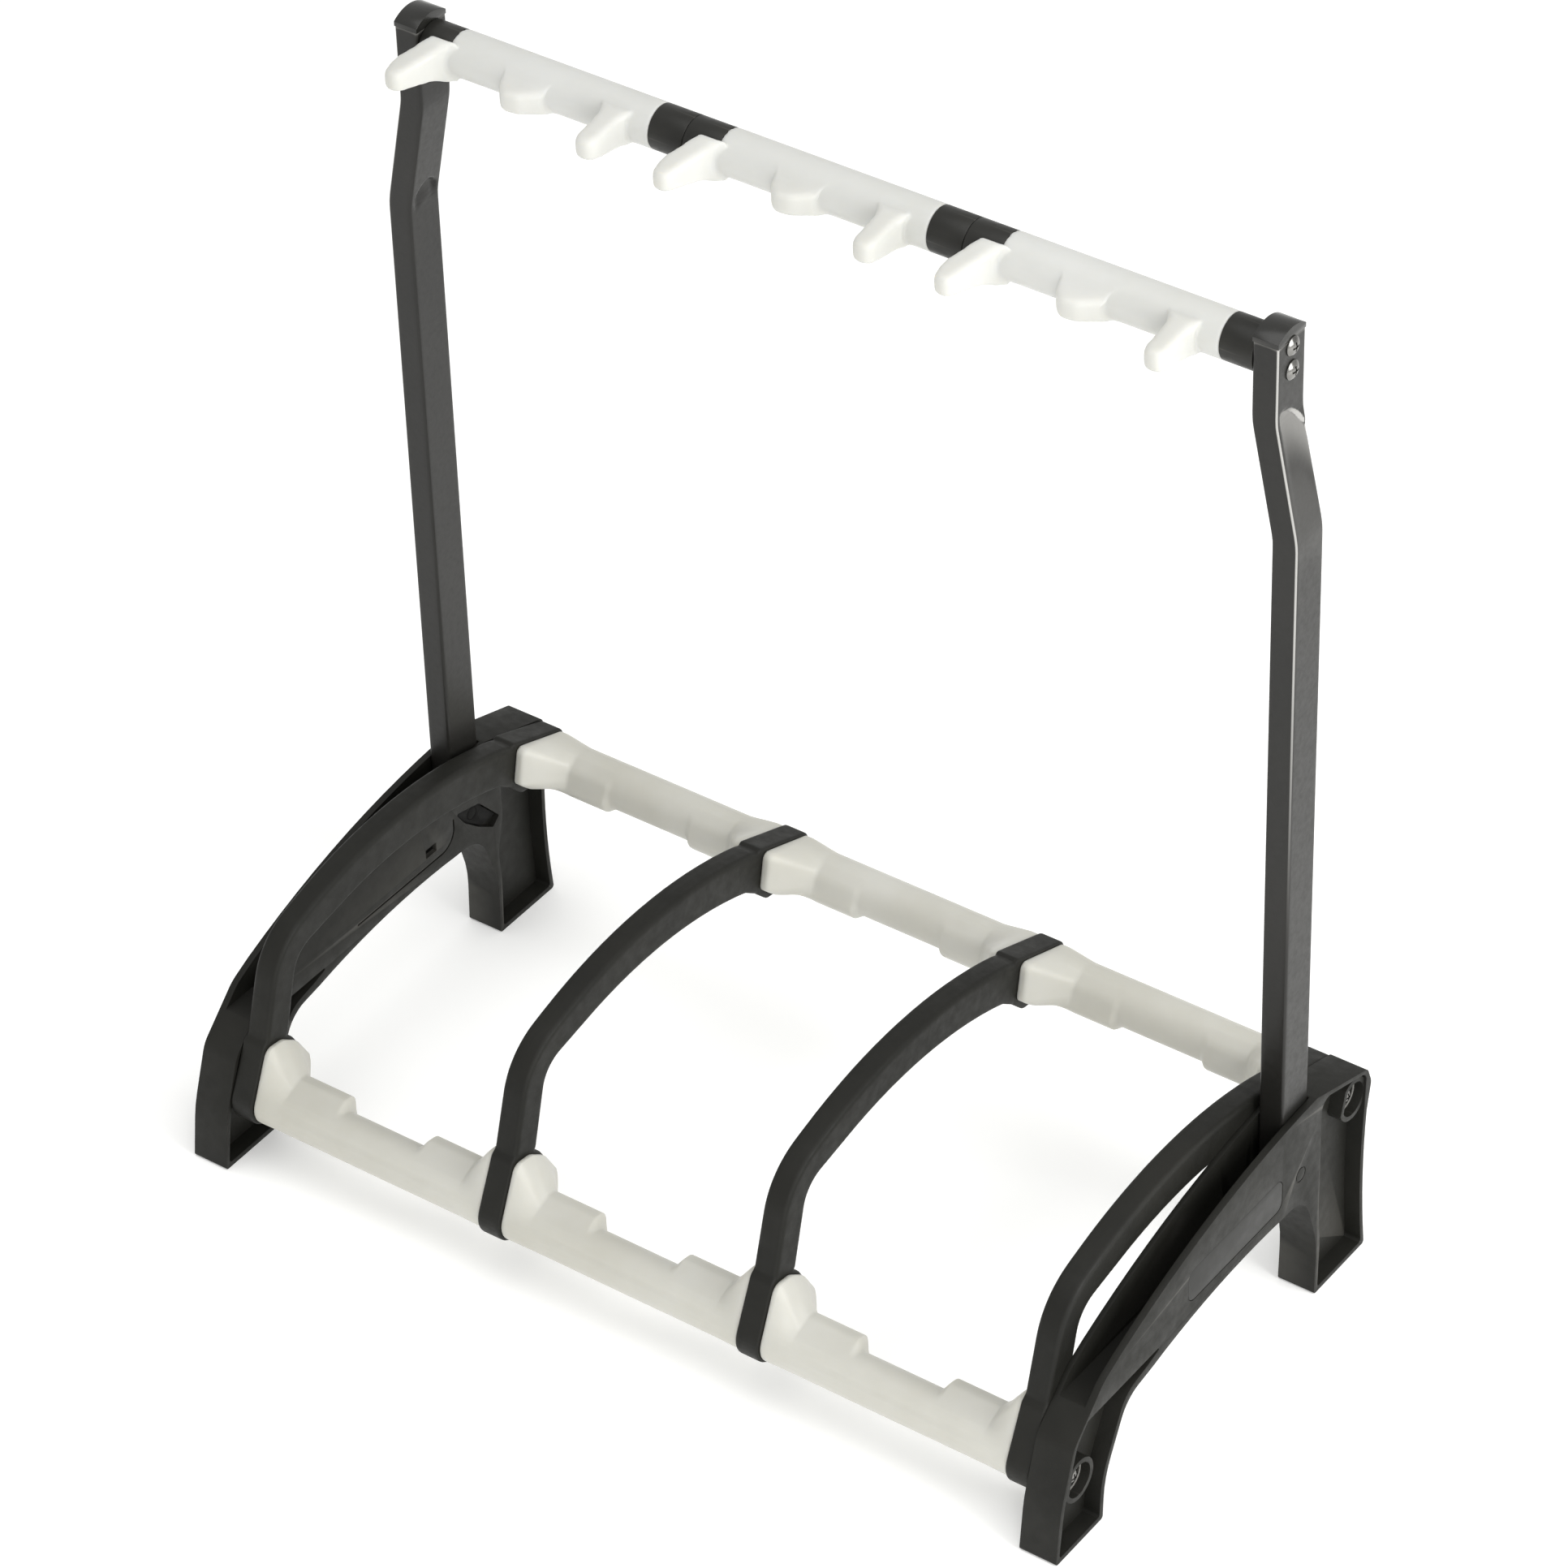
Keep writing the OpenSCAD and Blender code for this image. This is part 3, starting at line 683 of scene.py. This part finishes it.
def make_neck_pads():
    piece = cad_copy("neck_pad_middle", "neck_pad_form")
    remesh(piece, NECK_VOXEL)
    bake(piece)
    prongs = piece.vertex_groups.new(name="prongs")
    for v in piece.data.vertices:
        x, forward, up = v.co.x / MM, v.co.y / MM - NECK.x, v.co.z / MM - NECK.y
        away = math.hypot(forward, up)
        if away > NECK_PAD_R + 0.05 and forward < 0 and x < HUMP_TO:
            v.co.z = (NECK.y + prong_height(x, forward, up)) * MM
        soft = smoothstep(NECK_PAD_R, SOFT_FROM_R, away)
        prongs.add([v.index], ROUND_SOFTENED + (1 - ROUND_SOFTENED) * soft, "REPLACE")
    relax(piece, NECK_RELAX, prongs.name)
    swell = piece.modifiers.new("swell", "DISPLACE")
    swell.strength = NECK_SWELL * MM
    swell.mid_level = 0
    swell.vertex_group = prongs.name
    bake(piece)
    piece.vertex_groups.clear()
    for name, bay in BAYS.items():
        pad = copy_at(piece.data, f"neck_pad_{name}_rubber", bay * PITCH)
        smooth_shade(pad, 60)
        stand_for(pad, f"neck_pad_{name}", NECK_RUBBER)
    bpy.data.objects.remove(piece)


# ---- Uprights: flat tube with a double bend and a dent inside each bend --------------------------------

TUBE_HALF_W = 7.5
TUBE_CORNER = 1.6
BEND_LOW, BEND_HIGH, BEND_R = 517, 584, 40
# The foot is a half round in the side view
FOOT_R = 12.5
# Every ring is kept between these heights and this close to the foot, and one ring in so many elsewhere
DENTS_FROM, DENTS_TO = 500, 610
FOOT_RINGS = 26
KEEP_ONE_IN = 24
# Steps across the wide faces and across the narrow ones
WIDE_STEPS, NARROW_STEPS = 18, 6


def tube_section(half_d):
    """Points round a rounded rectangle, dense enough on the wide faces to carry a dent."""
    points = []
    for sx, sy, start in ((1, -1, -90), (1, 1, 0), (-1, 1, 90), (-1, -1, 180)):
        middle = Vector((sx * (TUBE_HALF_W - TUBE_CORNER), sy * (half_d - TUBE_CORNER)))
        for degrees in QUARTER_DEGREES:
            a = math.radians(start + degrees)
            end = middle + TUBE_CORNER * Vector((math.cos(a), math.sin(a)))
            points.append(end)
        along = Vector((-math.sin(a), math.cos(a)))
        wide = start in (-90, 90)
        steps = WIDE_STEPS if wide else NARROW_STEPS
        flat = 2 * ((half_d if wide else TUBE_HALF_W) - TUBE_CORNER)
        points += [end + along * flat * i / steps for i in range(1, steps)]
    return points


def dent(face, across, height):
    """Depth of the pressed hollow inside a bend. face is 1 on the outer face and -1 on the inner one."""
    if face > 0:
        off = across - UPPER_LIP_AT
        below = UPPER_LIP - UPPER_LIP_BEND * off ** 2 - UPPER_LIP_TILT * off - height
        fade = math.exp(-max(0.0, below - 6) / 20)
        side = smoothstep(-10.5, -6.5, across) * (1 - 0.35 * smoothstep(6, 11.5, across))
        return UPPER_DENT_DEPTH * smoothstep(0, 5, below) * fade * side
    below = LOWER_LIP - LOWER_LIP_BEND * (across - LOWER_LIP_AT) ** 2 - height
    fade = 1 - smoothstep(4, 16, below)
    side = smoothstep(-9.5, -5, across) * (1 - smoothstep(6.5, 10.5, across))
    return LOWER_DENT_DEPTH * smoothstep(0, 4, below) * fade * side


def upright_path(low, high):
    """The tube's centre line, as (distance from the middle of the rack, height) where its rings stand."""
    near, far = sorted((abs(low.x), abs(high.x)))
    lower_x, upper_x = far - TUBE_HALF_W, near + TUBE_HALF_W
    path = outline([(lower_x, low.z), (lower_x, BEND_LOW, BEND_R), (upper_x, BEND_HIGH, BEND_R),
                    (upper_x, high.z)], False)
    # Two passes take the corners off the arcs' steps
    fine = resample(resample(path, 200), 2 * int(high.z - low.z))
    last = len(fine) - 1
    return [p for i, p in enumerate(fine)
            if DENTS_FROM < p.y < DENTS_TO or p.y < low.z + FOOT_RINGS or i % KEEP_ONE_IN == 0 or i == last]


def upright_mesh(name, side):
    low, high = box_mm(f"upright_{name}")
    half_d = (high.y - low.y) / 2
    y_mid = (low.y + high.y) / 2
    path = upright_path(low, high)
    section = tube_section(half_d)
    rings = []
    for i, p in enumerate(path):
        q = path[min(i + 1, len(path) - 1)] - path[max(i - 1, 0)]
        q.normalize()
        normal = Vector((q.y, -q.x))
        into_foot = max(0.0, low.z + FOOT_R - p.y) / FOOT_R
        narrowing = math.sqrt(max(0.02, 1 - into_foot ** 2))
        ring = []
        for out, across in section:
            face = math.copysign(1, out)
            flatness = smoothstep(TUBE_HALF_W - TUBE_CORNER, TUBE_HALF_W - 0.1, abs(out))
            at = p + normal * (out - face * dent(face, across, p.y) * flatness)
            ring.append((side * at.x, y_mid + across * narrowing, at.y))
        rings.append(ring)
    bm = bmesh.new()
    skin(bm, rings)
    return mesh_from(bm, "upright")


def make_uprights():
    for name, side in SIDES.items():
        piece = new_piece(f"upright_{name}_tube", upright_mesh(name, side))
        smooth_shade(piece, 45)
        stand_for(piece, f"upright_{name}", UPRIGHT_COAT_WITH_HIGHLIGHTS)


# ---- Everything else keeps its CAD shape, the seen parts with rounded edges -----------------------------

# How wide the rounding of each part's edges is, and which parts come as a left and a right one
EDGE_MM = {"side_frame": 0.9, "upright_cap": 0.7, "bar_screws": 0.25, "neck_screws": 0.25, "pivot_pin": 0.4,
           "pivot_block": 0.4, "label_plate": 0.25, "bar_end_plugs": 0.4}
PAIRED = ("side_frame", "upright_cap", "pivot_pin", "pivot_block")
SLEEVE_COUNT, SLEEVE_EDGE_MM = 6, 0.5
# Tubes, blocks and plugs that other pieces cover
HIDDEN = ("front_bar_tube", "back_bar_tube", "neck_bar_tube", "neck_end_blocks", "upright_foot_left",
          "upright_foot_right")


def make_refined(node, width_mm, material=None):
    """The CAD node's own shape with its edges rounded."""
    piece = bevel(cad_copy(node, node + "_skin"), width_mm)
    smooth_shade(piece)
    stand_for(piece, node, material)


def make_the_rest():
    for part, width in EDGE_MM.items():
        for node in [f"{part}_{hand}" for hand in SIDES] if part in PAIRED else [part]:
            make_refined(node, width, OWN_MATERIALS.get(part))
    for i in range(1, SLEEVE_COUNT + 1):
        make_refined(f"neck_sleeve_{i}", SLEEVE_EDGE_MM)
    for node in HIDDEN:
        mesh = frame["nodes"][node].data
        mesh.materials.clear()
        mesh.materials.append(MATERIALS[SLOTS[node]])


# ---- Floor, light and camera ---------------------------------------------------------------------------

FLOOR_SIZE = 14
# What the lights point at, in metres: the middle of the rack and the right upright
MIDDLE = (0, 0, 0.3)
RIGHT_UPRIGHT = (0.28, 0, 0.35)
# Where the camera stands round the point that it looks at: degrees from the front towards the right, degrees
# above the horizon, degrees of roll, and metres
CAMERA_AZIMUTH, CAMERA_ELEVATION, CAMERA_ROLL = 36.83668, 38.09653, -1.97039
CAMERA_DISTANCE = 3.48654
LOOKED_AT = (0.01899, -0.00274, 0.30117)
# Millimetres of focal length, on a sensor 36 mm wide
CAMERA_LENS = 152.57
CAMERA_SENSOR = 36


def make_stage():
    bm = bmesh.new()
    bmesh.ops.create_grid(bm, x_segments=1, y_segments=1, size=FLOOR_SIZE / 2)
    mesh = bpy.data.meshes.new("floor")
    bm.to_mesh(mesh)
    bm.free()
    floor = new_piece("floor", mesh)
    shader = Shader("floor_paper", (0.93, 0.93, 0.92), 0.85, Specular_IOR_Level=0.1)
    shader.mottle(3, (0.925, 0.925, 0.915), (0.935, 0.935, 0.925))
    shader.bsdf.inputs["Emission Color"].default_value = (1, 1, 1, 1)
    shader.bsdf.inputs["Emission Strength"].default_value = 0.2
    floor.data.materials.append(shader.material)


def area_light(name, place, target, size, power):
    data = bpy.data.lights.new(name, "AREA")
    data.shape = "RECTANGLE"
    data.size, data.size_y = size
    data.energy = power
    light = bpy.data.objects.new(name, data)
    bpy.context.scene.collection.objects.link(light)
    light.location = place
    light.rotation_mode = "QUATERNION"
    light.rotation_quaternion = (Vector(target) - Vector(place)).to_track_quat("-Z", "Y")


def make_lights():
    world = bpy.data.worlds.new("studio")
    bpy.context.scene.world = world
    world.use_nodes = True
    background = world.node_tree.nodes["Background"]
    background.inputs["Color"].default_value = (1.0, 1.0, 0.99, 1)
    background.inputs["Strength"].default_value = 0.68
    area_light("overhead", (0.2, -0.3, 2.6), MIDDLE, (2.2, 2.2), 22)
    area_light("right", (2.2, 0.1, 1.2), RIGHT_UPRIGHT, (1.3, 1.7), 40)
    area_light("front_right", (1.5, -1.9, 0.9), RIGHT_UPRIGHT, (0.9, 1.2), 13)
    area_light("front_left", (-1.8, -2.4, 1.4), MIDDLE, (1.6, 1.6), 2)


def make_camera():
    data = bpy.data.cameras.new("camera")
    data.sensor_width = CAMERA_SENSOR
    data.lens = CAMERA_LENS
    data.clip_start, data.clip_end = 0.05, 60
    camera = bpy.data.objects.new("camera", data)
    bpy.context.scene.collection.objects.link(camera)
    turn = (Matrix.Rotation(math.radians(CAMERA_AZIMUTH), 3, "Z")
            @ Matrix.Rotation(math.radians(90 - CAMERA_ELEVATION), 3, "X")
            @ Matrix.Rotation(math.radians(CAMERA_ROLL), 3, "Z"))
    camera.rotation_mode = "QUATERNION"
    camera.rotation_quaternion = turn.to_quaternion()
    camera.location = Vector(LOOKED_AT) + turn @ Vector((0, 0, CAMERA_DISTANCE))
    bpy.context.scene.camera = camera


make_camera()
make_stage()
make_lights()
make_base_pads()
make_hoops()
make_neck_pads()
make_uprights()
make_the_rest()
bpy.context.scene.view_settings.view_transform = "Standard"
